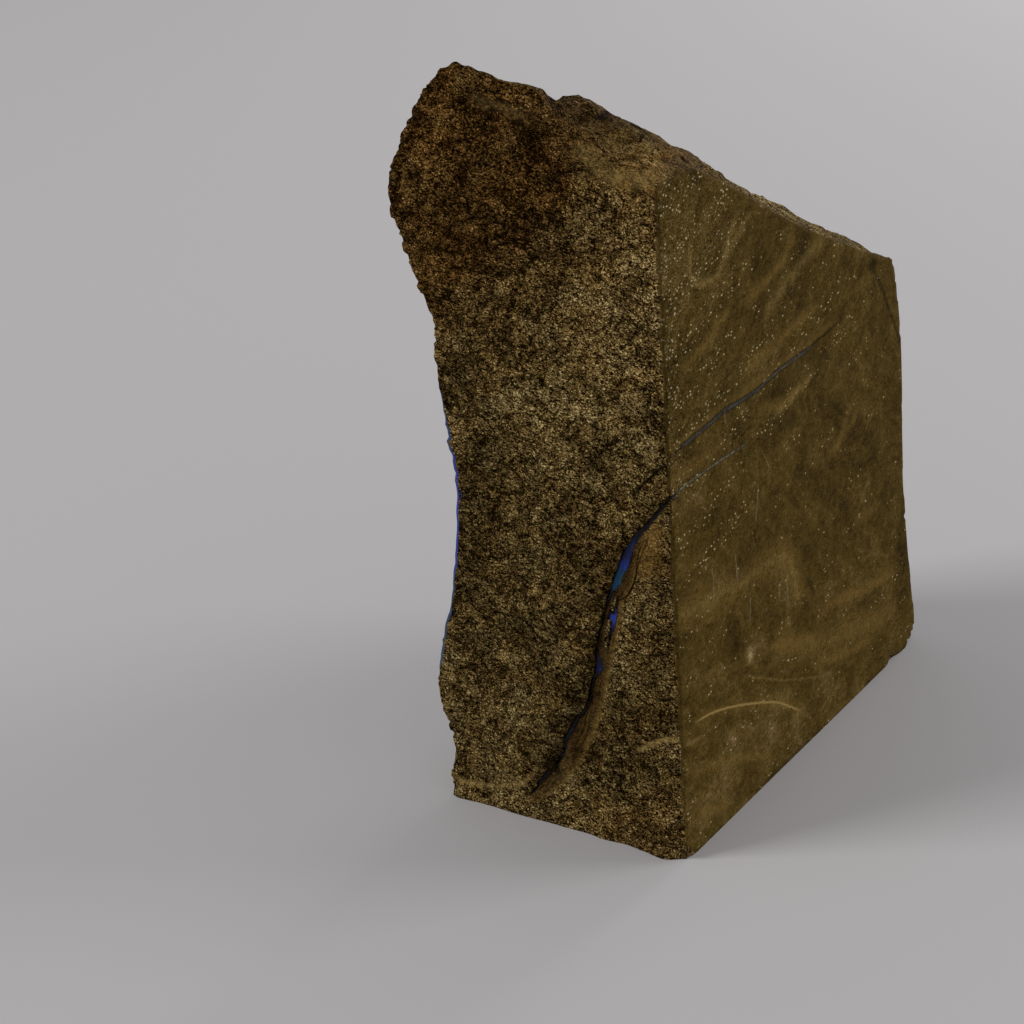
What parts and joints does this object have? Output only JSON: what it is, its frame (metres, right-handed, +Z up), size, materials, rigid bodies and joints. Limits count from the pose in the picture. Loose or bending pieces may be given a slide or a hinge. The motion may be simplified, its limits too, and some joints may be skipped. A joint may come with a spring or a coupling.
{
  "type": "rough boulder opal",
  "caption": "Tall wedge of brown ironstone with one sawn side and a flat sawn foot, a blue opal seam down its broken front and a layer of opal on its split side.",
  "frame": {"origin": "centre of the bounding box on the plane of the sawn foot", "axes": "+Z up from the sawn foot, +X towards the sawn side, -Y towards the broken front"},
  "size_m": [0.0498, 0.0914, 0.1146],
  "materials": {
    "ironstone": "broken and sawn brown ironstone, fine sandy grain with small glints, golden bands on the sawn side",
    "seam_opal": "smooth dark opal with blue and violet colour in a thin fissure",
    "skin_opal": "glossy blue-grey opal layer with blue, teal and violet patches"
  },
  "bodies": {
    "root": {"ironstone": "ironstone", "opal_seam": "seam_opal", "opal_skin": "skin_opal"}
  },
  "joints": []
}
